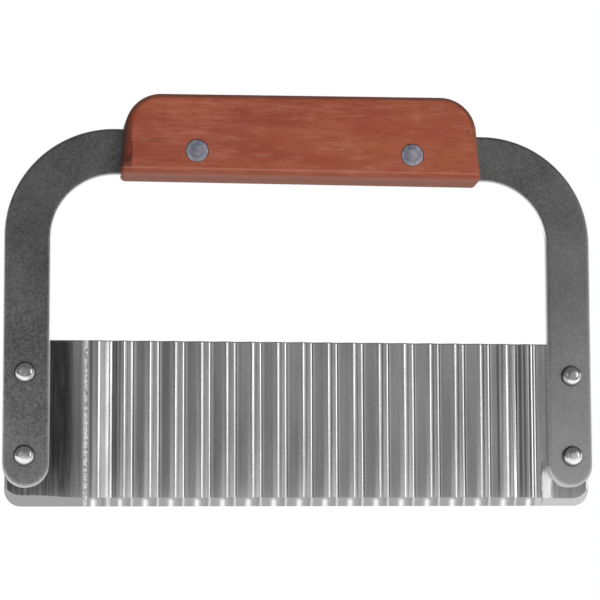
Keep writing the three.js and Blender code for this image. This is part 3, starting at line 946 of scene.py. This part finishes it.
def make_blade_rivet(name, x, z, material):
    """A rivet through leg and blade: a domed head in front, a shank and a set tail."""
    head_seat = FRAME_FRONT - SEAT_GAP
    tail_seat = BLADE_MID_Y + BLADE_THICKNESS / 2 + SEAT_GAP
    profile = [
        *dome(BLADE_RIVET_HEAD_RADIUS, head_seat, -BLADE_RIVET_HEAD_HEIGHT, HEAD_FLATNESS),
        (BLADE_RIVET_SHANK_RADIUS, head_seat),
        (BLADE_RIVET_SHANK_RADIUS, tail_seat),
        *reversed(dome(BLADE_RIVET_TAIL_RADIUS, tail_seat, BLADE_RIVET_TAIL_HEIGHT)),
    ]
    points, faces = lathe(profile, x, z, RIVET_SIDES)
    piece = add_piece(name + "_dome", points, faces, material, [name])

    # Painted shade and dark reflection round the head's rim, wider low down
    def rim(px, py, pz):
        share = math.hypot(px - x, pz - z) / BLADE_RIVET_HEAD_RADIUS
        below = ease((z - pz) / BLADE_RIVET_HEAD_RADIUS, *LOW_SHADED_RIM_DEPTHS)
        return max(ease(share, *SHADED_RIM_SHARES), LOW_SHADED_RIM * ease(share, *LOW_SHADED_RIM_SHARES) * below)

    def crown(px, py, pz):
        return 1 - ease(math.hypot(px - x, pz - z) / BLADE_RIVET_HEAD_RADIUS, *CROWN_SHARES)

    paint(piece, "rim", rim)
    paint(piece, "crown", crown)


def make_grip_rivets(side_name, x, material):
    """The two halves of a rivet through the grip: a socket in front and a pin behind."""
    front_seat = GRIP_FRONT + GRIP_RIVET_HEAD_HEIGHT
    back_seat = GRIP_BACK - GRIP_RIVET_HEAD_HEIGHT
    tube_end = back_seat - GRIP_RIVET_TUBE_END_ROOM
    pin_end = front_seat + GRIP_RIVET_PIN_END_ROOM
    socket = [
        *dome(GRIP_RIVET_HEAD_RADIUS, GRIP_FRONT, -GRIP_RIVET_CROWN),
        (GRIP_RIVET_HEAD_RADIUS, front_seat),
        (GRIP_RIVET_TUBE_RADIUS, front_seat),
        (GRIP_RIVET_TUBE_RADIUS, tube_end),
        (GRIP_RIVET_BORE_RADIUS, tube_end),
        (GRIP_RIVET_BORE_RADIUS, front_seat),
        (0, front_seat),
    ]
    pin = [
        (0, pin_end),
        (GRIP_RIVET_PIN_RADIUS, pin_end),
        (GRIP_RIVET_PIN_RADIUS, back_seat),
        (GRIP_RIVET_HEAD_RADIUS, back_seat),
        *reversed(dome(GRIP_RIVET_HEAD_RADIUS, GRIP_BACK, GRIP_RIVET_CROWN)),
    ]

    def ring(px, py, pz):
        return peak(math.hypot(px - x, pz - GRIP_RIVET_Z) / GRIP_RIVET_HEAD_RADIUS, *RING_AT)

    for part, profile in (("socket", socket), ("pin", pin)):
        points, faces = lathe(profile, x, GRIP_RIVET_Z, RIVET_SIDES)
        node = f"handle_rivet_{side_name}_{part}"
        name = f"handle_rivet_{side_name}_{part}_turned"
        piece = add_piece(name, points, faces, material, [node])
        paint(piece, "ring", ring)


# Grip piece

GRIP_ROUND_STEPS = 10
GRIP_CORNER_STEPS = 36
GRIP_LOW_CORNER_STEPS = 14
HOLE_SIDES = 48

# How far inside the rounded edge the flat faces start
GRIP_FACE_INSET = 0.35

# The lower corners are sharper than those that the ends are placed by
GRIP_SHARP_CORNER_RADIUS = 1.6
GRIP_LEAST_RADIUS = 0.05

# How far the ends stand further right at the back: the right one all over, the left one low down
GRIP_RIGHT_SKEW = 1.6
GRIP_LEFT_SKEW = 1.0
GRIP_LEFT_SKEW_ZS = (-7, 5)

# The stretch of the edges with painted shade: distances from the nearest face in edge rounds, and
# heights
SHADED_EDGE_DEPTHS = (0.03, 0.22, 1, 1.6)
SHADED_EDGE_ZS = (4, 14)

SLOT_TOP_Z = HALF_STRAP + SLOT_GAP
SLOT_HALF = STRAP_THICKNESS / 2 + SLOT_GAP


def grip_top_corner(side):
    """The centre of a wide top corner, which touches the sloping top edge and a leaning end."""
    rise = side * math.tan(GRIP_TOP_SLOPE)
    lean = GRIP_RIGHT_LEAN if side > 0 else GRIP_LEFT_LEAN
    inward = math.tan(lean)
    low_z = GRIP_BOTTOM_Z + GRIP_LOWER_CORNER_RADIUS
    middle = GRIP_TOP_Z - GRIP_TOP_CORNER_RADIUS / math.cos(GRIP_TOP_SLOPE)
    widening = (GRIP_TOP_CORNER_RADIUS - GRIP_LOWER_CORNER_RADIUS) / math.cos(lean)
    at_low_z = GRIP_LENGTH / 2 - GRIP_LOWER_CORNER_RADIUS - widening
    reach = (at_low_z - (middle - low_z) * inward) / (1 + rise * inward)
    return GRIP_SHIFT_X + side * reach, middle + rise * reach


def grip_low_corner(side, lean, inset):
    """The centre and radius of a lower corner, which touches the bottom and a leaning end."""
    radius = max(GRIP_SHARP_CORNER_RADIUS - inset, GRIP_LEAST_RADIUS)
    reach = inset + radius
    z = GRIP_BOTTOM_Z + reach
    base_x = GRIP_LENGTH / 2 - GRIP_LOWER_CORNER_RADIUS
    base_z = GRIP_BOTTOM_Z + GRIP_LOWER_CORNER_RADIUS
    outward = base_x * math.cos(lean) + base_z * math.sin(lean) + GRIP_LOWER_CORNER_RADIUS - reach
    return GRIP_SHIFT_X + side * (outward - z * math.sin(lean)) / math.cos(lean), z, radius


def grip_loop(inset, y):
    """The grip's outline drawn in by an inset, from the slot's top right, over it, and round."""
    high = GRIP_TOP_CORNER_RADIUS - inset
    top = math.pi / 2 + GRIP_TOP_SLOPE
    left_x, left_z = grip_top_corner(-1)
    right_x, right_z = grip_top_corner(1)
    left_over = math.pi - math.asin((SLOT_TOP_Z - left_z) / high)
    right_over = math.asin((SLOT_TOP_Z - right_z) / high)
    left = grip_low_corner(-1, GRIP_LEFT_LEAN, inset)
    right = grip_low_corner(1, GRIP_RIGHT_LEAN, inset)
    left_start = math.pi - GRIP_LEFT_LEAN
    upper = [
        *arc(right_x, right_z, high, right_over, top, GRIP_CORNER_STEPS),
        *arc(left_x, left_z, high, top, left_over, GRIP_CORNER_STEPS),
    ]
    lower = [
        *arc(left_x, left_z, high, left_over, left_start, 4)[1:],
        *arc(*left, left_start, 1.5 * math.pi, GRIP_LOW_CORNER_STEPS),
        *arc(*right, -math.pi / 2, GRIP_RIGHT_LEAN, GRIP_LOW_CORNER_STEPS),
        *arc(right_x, right_z, high, GRIP_RIGHT_LEAN, right_over, 4)[:-1],
    ]
    back = (y - GRIP_FRONT) / GRIP_THICKNESS
    return [skewed(*place, back) for place in upper], [skewed(*place, back) for place in lower]


def skewed(x, z, back):
    """Moves a place of the outline to the right, the more the further back it is."""
    low = 1 - ease(z, *GRIP_LEFT_SKEW_ZS)
    skew = GRIP_RIGHT_SKEW if x > 0 else GRIP_LEFT_SKEW * low
    return x + skew * back, z


def open_slot(shape, row, next_row):
    """Joins the rows beside the slot over the strap, and gives the slot its ceiling and walls."""
    upper, lower = row
    next_upper, next_lower = next_row
    for j in range(len(upper) - 1):
        shape.faces.new((upper[j], upper[j + 1], next_upper[j + 1], next_upper[j]))
    shape.faces.new((upper[-1], upper[0], next_upper[0], next_upper[-1]))
    shape.faces.new([upper[0], upper[-1], *lower])
    shape.faces.new([next_upper[0], next_upper[-1], *next_lower][::-1])


def make_grip(material):
    """The wooden grip, as a row of outlines from front to back, with the slot in the middle."""
    shape = bmesh.new()
    half = rounded_rows(GRIP_FRONT, GRIP_EDGE_ROUND, GRIP_FACE_INSET, GRIP_ROUND_STEPS)
    half.append((0, -SLOT_HALF))
    rows = []
    for inset, y in mirrored(half):
        upper, lower = grip_loop(inset, y)
        rows.append((add_row(shape, upper, y), add_row(shape, lower, y)))
    for i in range(len(rows) - 1):
        if i == len(half) - 1:
            open_slot(shape, rows[i], rows[i + 1])
        else:
            join_rings(shape, rows[i][0] + rows[i][1], rows[i + 1][0] + rows[i + 1][1])
    cap_with_holes(shape, rows[0][0] + rows[0][1], GRIP_FRONT, 1)
    cap_with_holes(shape, rows[-1][0] + rows[-1][1], GRIP_BACK, -1)
    close_slot_mouth(shape)
    mesh = bpy.data.meshes.new("wooden_grip")
    nodes = ["wooden_handle"]
    piece = finish_piece(mesh, shape, material, nodes, sharp=40)
    # Painted shade along the rounded top edges
    paint(piece, "rim", shaded_rim_share)


def shaded_rim_share(x, y, z):
    """How much greyish painted shade the wood gets along its rounded top edges."""
    depth = (GRIP_BACK - abs(y)) / GRIP_EDGE_ROUND
    return window(depth, *SHADED_EDGE_DEPTHS) * ease(z, *SHADED_EDGE_ZS)


def close_slot_mouth(shape):
    """Wood between the slot's two sides under the strap, where the photograph shows no slot."""
    level = CROSSBAR_BOTTOM_Z - SLOT_GAP
    rings = []
    for y in (-SLOT_HALF, SLOT_HALF):
        outline = [(x, z) for x, z in grip_loop(0, y)[1] if z < level]
        outline = [(outline[0][0], level), *outline, (outline[-1][0], level)]
        rings.append(add_row(shape, outline, y))
    join_rings(shape, *rings)
    for ring in rings:
        shape.faces.new(ring)


def cap_with_holes(shape, rim, y, inward):
    """Closes the grip's front or back face round the seats of the rivet heads."""
    edges = ring_edges(shape, rim)
    radius = GRIP_RIVET_HEAD_RADIUS + SEAT_GAP
    depth = (GRIP_RIVET_HEAD_HEIGHT + SEAT_GAP) * inward
    for side in (-1, 1):
        circle = arc(side * GRIP_RIVET_X, GRIP_RIVET_Z, radius, 0, 2 * math.pi, HOLE_SIDES)[:-1]
        mouth = add_row(shape, circle, y)
        bottom = add_row(shape, circle, y + depth)
        join_rings(shape, mouth, bottom)
        edges += ring_edges(shape, mouth)
        shape.faces.new(bottom)
    bmesh.ops.triangle_fill(shape, use_beauty=True, use_dissolve=False, edges=edges)


# Camera, floor and light

CAMERA_SENSOR = 36
CAMERA_LENS = 137.04
CAMERA_PLACE = (-100.79, -681.24, -112.72)
CAMERA_YAW = math.radians(8.365)
CAMERA_PITCH = math.radians(5.683)
CAMERA_ROLL = math.radians(-0.163)


def make_camera():
    """The photograph's view, from low in front and a little to the left."""
    data = bpy.data.cameras.new("camera")
    data.sensor_width = CAMERA_SENSOR
    data.lens = CAMERA_LENS
    data.clip_start = 0.01
    data.clip_end = 20
    camera = add_object("camera", data)
    level = math.cos(CAMERA_PITCH)
    forward = Vector(
        (math.sin(CAMERA_YAW) * level, math.cos(CAMERA_YAW) * level, math.sin(CAMERA_PITCH))
    )
    right = Vector((math.cos(CAMERA_YAW), -math.sin(CAMERA_YAW), 0))
    up = right.cross(forward)
    turned_right = right * math.cos(CAMERA_ROLL) + up * math.sin(CAMERA_ROLL)
    turned_up = up * math.cos(CAMERA_ROLL) - right * math.sin(CAMERA_ROLL)
    turn = Matrix((turned_right, turned_up, -forward)).transposed()
    camera.matrix_world = Matrix.Translation(Vector(CAMERA_PLACE) * MM) @ turn.to_4x4()
    bpy.context.scene.camera = camera


# The floor's size and its gap under the cutting edge in metres, its colour, and its own glow as
# light and as the camera sees it
FLOOR_SIZE = 6.0
FLOOR_GAP = 0.0001
FLOOR_GREY = 0.85
FLOOR_GLOW = 0.02
FLOOR_SEEN_GLOW = 0.45

# How bright the floor is in gloss: near the blade, just behind it, in front and well to the side,
# and past its end
FLOOR_IN_GLOSS = 1.15
FLOOR_BEHIND_IN_GLOSS = 0.3
FLOOR_DIM_IN_GLOSS = 0.6
FLOOR_PAST_END = 0.16

# Where those parts fade into each other, in metres in front of the blade or to its side, and how
# far off the floor fades to plain white for the camera
FLOOR_BEHIND_FADE = (-0.06, -0.012)
FLOOR_BESIDE_FADE = (-0.012, -0.004)
FLOOR_FRONT_FADE = (0.014, 0.05)
FLOOR_SIDE_FADE = (0.045, 0.075)
FLOOR_END_FADE = (0.12, 0.17)
FLOOR_FAR_FADE = (0.25, 0.9)


def floor_gloss(n, place):
    """Brightness of the floor in gloss, by where it is seen."""
    axes = n.add("SeparateXYZ", {0: place})
    ahead = n.times(axes.outputs["Y"], -1.0)
    aside = n.math("ABSOLUTE", axes.outputs["X"])
    behind = n.between(ahead, *FLOOR_BEHIND_FADE, FLOOR_IN_GLOSS, FLOOR_BEHIND_IN_GLOSS)
    beside = n.between(ahead, *FLOOR_BESIDE_FADE, behind, FLOOR_IN_GLOSS)
    dim = n.between(aside, *FLOOR_SIDE_FADE, FLOOR_DIM_IN_GLOSS, FLOOR_IN_GLOSS)
    near = n.between(ahead, *FLOOR_FRONT_FADE, beside, dim)
    past = n.between(ahead, *FLOOR_END_FADE, 0.0, 1.0)
    return n.between(past, 0.0, 1.0, near, FLOOR_PAST_END)


def floor_white():
    """Dull white with a glow, plain white far from the blade, and a brightness of its own in gloss."""
    material, n = new_material("floor_white")
    geometry = n.add("NewGeometry")
    place = geometry.outputs["Position"]
    path = n.add("LightPath")
    in_camera = path.outputs["Is Camera Ray"]
    diffuse = n.add("BsdfDiffuse", {"Color": grey(FLOOR_GREY)})
    glow_level = n.between(in_camera, 0.0, 1.0, FLOOR_GLOW, FLOOR_SEEN_GLOW)
    glow = n.add("Emission", {"Color": grey(1), "Strength": glow_level})
    plain = n.add("AddShader", {0: diffuse, 1: glow})
    in_gloss = n.add("Emission", {"Color": grey(1), "Strength": floor_gloss(n, place)})
    lit = n.add("MixShader", {0: path.outputs["Is Glossy Ray"], 1: plain, 2: in_gloss})
    flat = n.add("VectorMath", {0: place, 1: (1, 1, 0)}, operation="MULTIPLY")
    distance = n.add("VectorMath", {0: flat.outputs[0]}, operation="LENGTH").outputs["Value"]
    far = n.between(distance, *FLOOR_FAR_FADE, 0.0, 1.0)
    white = n.add("Emission", {"Color": grey(1), "Strength": 1.0})
    floor = n.add("MixShader", {0: n.times(far, in_camera), 1: lit, 2: white})
    clear = n.add("BsdfTransparent")
    both = n.add("MixShader", {0: geometry.outputs["Backfacing"], 1: floor, 2: clear})
    n.add("OutputMaterial", {"Surface": both})
    return material


def make_floor(material):
    """A white floor under the cutting edge. It doesn't show from below, where the camera is."""
    mesh = bpy.data.meshes.new("floor")
    size = FLOOR_SIZE
    z = EDGE_Z * MM - FLOOR_GAP
    corners = [(-size, -size, z), (size, -size, z), (size, size, z), (-size, size, z)]
    mesh.from_pydata(corners, [], [(0, 1, 2, 3)])
    mesh.materials.append(material)
    floor = add_object("floor", mesh)


# Brightness of the room by azimuth in degrees: 0 is straight in front, 90 on the right
ROOM = (
    (-180, 0.7), (-120, 0.6), (-90, 0.35), (-64, 0.3), (-56, 0.12), (-40, 0.09),
    (-30, 0.32), (-22, 0.32), (-14, 0.55), (-8, 0.58), (-3, 0.18), (0, 0.02),
    (4, 0.01), (7, 0.09), (11, 0.49), (16, 0.17), (22, 0.1), (28, 0.23),
    (32, 1.55), (36, 4.0), (40, 1.25), (44, 0.55), (48, 0.65), (54, 0.6),
    (60, 0.1), (68, 0.06), (80, 1.2), (95, 1.8), (120, 1.0), (180, 0.7),
)
ROOM_ABOVE = 0.14
ROOM_SCALE = 4.0

# Between these heights, of which 0 is level and 1 straight up, the room fades into its upper part
ROOM_FADE = (0.14, 0.4)


def make_world():
    """White where the camera sees it. As light and in gloss, a room with a dark front."""
    world = bpy.data.worlds.new("studio")
    bpy.context.scene.world = world
    world.use_nodes = True
    n = Nodes(world.node_tree)
    axes = n.add("SeparateXYZ", {0: n.add("TexCoord").outputs["Generated"]})
    azimuth = n.math("ARCTAN2", axes.outputs[0], n.times(axes.outputs[1], -1.0))
    turn = n.between(azimuth, -math.pi, math.pi, 0.0, 1.0)
    stops = [((angle + 180) / 360, grey(level / ROOM_SCALE)) for angle, level in ROOM]
    over = n.between(axes.outputs[2], *ROOM_FADE, 0.0, 1.0)
    room = n.mix(over, n.ramp(turn, stops), grey(ROOM_ABOVE / ROOM_SCALE))
    path = n.add("LightPath")
    lit = n.add("Background", {"Color": room, "Strength": ROOM_SCALE})
    white = n.add("Background", {"Color": grey(1), "Strength": 1.0})
    seen = n.math("MAXIMUM", path.outputs["Is Camera Ray"], path.outputs["Is Transmission Ray"])
    both = n.add("MixShader", {0: seen, 1: lit, 2: white})
    n.add("OutputWorld", {"Surface": both})


# Name, place in metres and power in watts of each lamp
LAMPS = (
    ("front_lamp", (0.3, -1.7, -0.05), 30),
    ("back_lamp", (0.1, 1.6, 0.3), 24),
    ("top_lamp", (0.0, 0.3, 1.5), 10),
)
LAMP_SIZE = 1.2
LAMPS_AIM = (0, 0, -0.04)


def make_lamp(name, place, power):
    """A soft lamp that lights dull surfaces and leaves no image of itself in shiny ones."""
    data = bpy.data.lights.new(name, "AREA")
    data.shape = "DISK"
    data.size = LAMP_SIZE
    data.energy = power
    lamp = add_object(name, data)
    turn = (Vector(LAMPS_AIM) - Vector(place)).to_track_quat("-Z", "Y")
    lamp.matrix_world = Matrix.Translation(Vector(place)) @ turn.to_matrix().to_4x4()
    lamp.visible_camera = False
    lamp.visible_glossy = False


make_camera()
make_frame(frame_steel())
make_blade(blade_steel())
make_grip(red_wood())
rivets = rivet_steel()
grip_rivets = grip_rivet_metal()
for side_name, side in (("left", -1), ("right", 1)):
    for level_name, level_z in (("upper", RIVET_UPPER_Z), ("lower", RIVET_LOWER_Z)):
        make_blade_rivet(f"blade_rivet_{side_name}_{level_name}", side * RIVET_X, level_z, rivets)
    make_grip_rivets(side_name, side * GRIP_RIVET_X, grip_rivets)
make_floor(floor_white())
make_world()
for lamp_name, lamp_place, lamp_power in LAMPS:
    make_lamp(lamp_name, lamp_place, lamp_power)
bpy.context.scene.view_settings.view_transform = "Standard"
